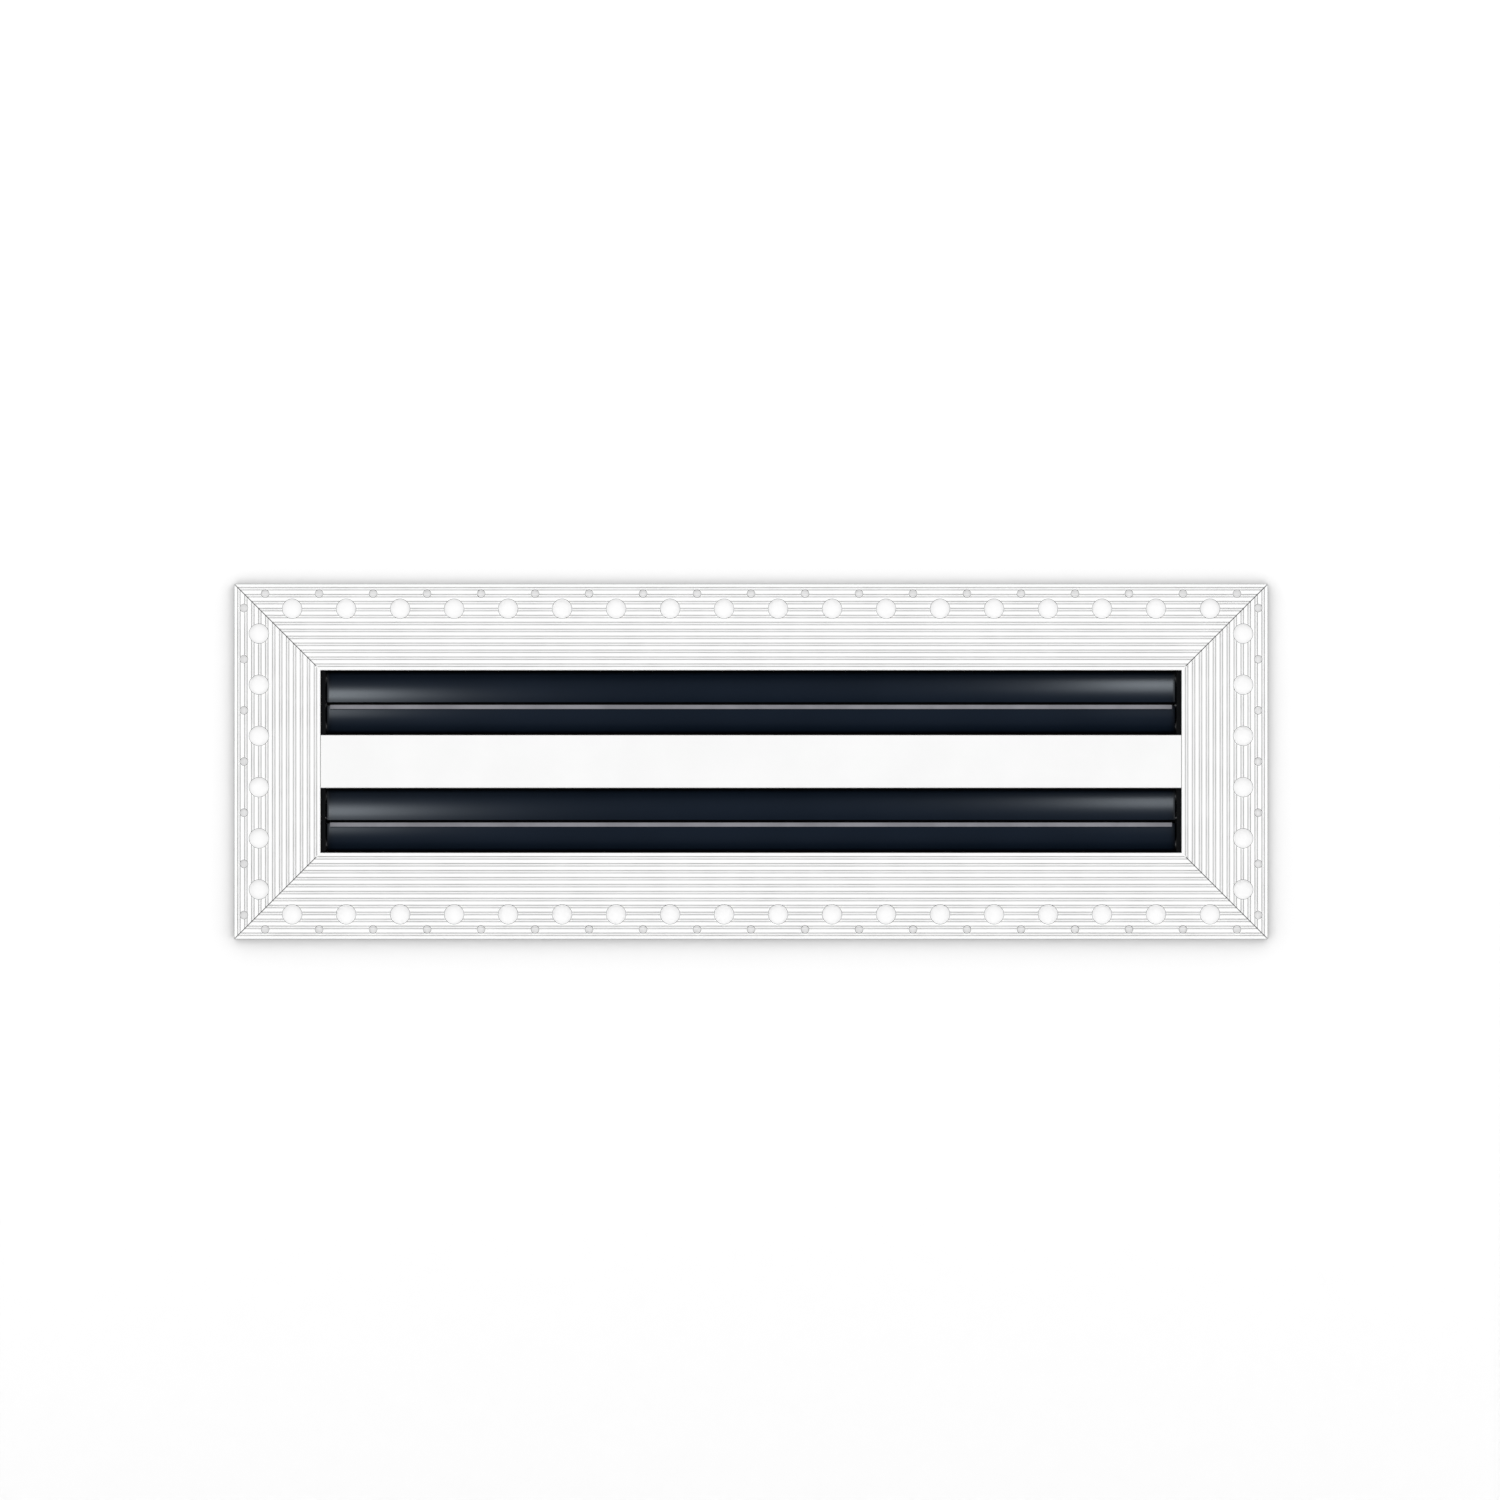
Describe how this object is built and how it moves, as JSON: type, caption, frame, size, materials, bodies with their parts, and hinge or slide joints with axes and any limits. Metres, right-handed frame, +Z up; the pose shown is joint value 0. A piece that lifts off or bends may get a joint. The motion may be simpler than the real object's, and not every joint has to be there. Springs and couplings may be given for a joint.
{
  "type": "louvred air grille",
  "caption": "Long slotted air grille with hinged deflector blades and a perforated, grooved flange that is plastered into a wall or ceiling.",
  "frame": {"origin": "centre of the opening, on the plane of the flange's back face that lies against the wall board", "axes": "+X along the slots, +Y into the wall, +Z up; the visible face looks along -Y"},
  "size_m": [0.4038, 0.044, 0.1386],
  "materials": {
    "white_coated_frame": "matt white powder coat",
    "white_coated_bar": "matt white powder coat",
    "mill_aluminium_keys": "mill",
    "dark_steel": "black oxide",
    "zinc_steel_strip": "zinc plated",
    "black_coated_plate": "satin black",
    "black_coated_blade": "satin blue-black",
    "rivet_aluminium": "drawn",
    "zinc_screws": "zinc plated",
    "pin_steel": "ground",
    "nylon": "moulded",
    "black_seal": "matt",
    "grey_strip": "satin"
  },
  "bodies": {
    "housing": {"flange_top": "white_coated_frame", "flange_bottom": "white_coated_frame", "flange_left": "white_coated_frame", "flange_right": "white_coated_frame", "centre_bar": "white_coated_bar", "corner_key_top_left": "mill_aluminium_keys", "corner_key_top_right": "mill_aluminium_keys", "corner_key_bottom_left": "mill_aluminium_keys", "corner_key_bottom_right": "mill_aluminium_keys", "corner_key_grub_screws": "dark_steel", "spacer_bridge_left": "zinc_steel_strip", "spacer_bridge_middle": "zinc_steel_strip", "spacer_bridge_right": "zinc_steel_strip", "end_plate_left": "black_coated_plate", "end_plate_right": "black_coated_plate", "end_plate_rivets": "rivet_aluminium", "centre_bar_screws": "zinc_screws", "bridge_rail_screws": "zinc_screws", "bridge_bar_screws": "zinc_screws", "pivot_bushes_left": "nylon", "pivot_bushes_right": "nylon", "upper_slot_top_wall_seal": "black_seal", "upper_slot_bottom_wall_seal": "black_seal", "lower_slot_top_wall_seal": "black_seal", "lower_slot_bottom_wall_seal": "black_seal"},
    "upper_slot_top_blade": {"upper_slot_top_blade": "black_coated_blade", "upper_slot_top_pivot_pins": "pin_steel", "upper_slot_top_baffle_strip": "black_seal"},
    "upper_slot_bottom_blade": {"upper_slot_bottom_blade": "black_coated_blade", "upper_slot_bottom_pivot_pins": "pin_steel", "upper_slot_bottom_edge_strip": "grey_strip"},
    "lower_slot_top_blade": {"lower_slot_top_blade": "black_coated_blade", "lower_slot_top_pivot_pins": "pin_steel", "lower_slot_top_baffle_strip": "black_seal"},
    "lower_slot_bottom_blade": {"lower_slot_bottom_blade": "black_coated_blade", "lower_slot_bottom_pivot_pins": "pin_steel", "lower_slot_bottom_edge_strip": "grey_strip"}
  },
  "joints": [
    {"name": "upper_slot_top_blade_hinge", "type": "hinge", "parent": "housing", "child": "upper_slot_top_blade", "pos_m": [0, 0.007, 0.0325], "axis": [1, 0, 0], "range_deg": [0, 75]},
    {"name": "upper_slot_bottom_blade_hinge", "type": "hinge", "parent": "housing", "child": "upper_slot_bottom_blade", "pos_m": [0, 0.007, 0.0135], "axis": [-1, 0, 0], "range_deg": [0, 75]},
    {"name": "lower_slot_top_blade_hinge", "type": "hinge", "parent": "housing", "child": "lower_slot_top_blade", "pos_m": [0, 0.007, -0.0135], "axis": [1, 0, 0], "range_deg": [0, 75]},
    {"name": "lower_slot_bottom_blade_hinge", "type": "hinge", "parent": "housing", "child": "lower_slot_bottom_blade", "pos_m": [0, 0.007, -0.0325], "axis": [-1, 0, 0], "range_deg": [0, 75]}
  ]
}
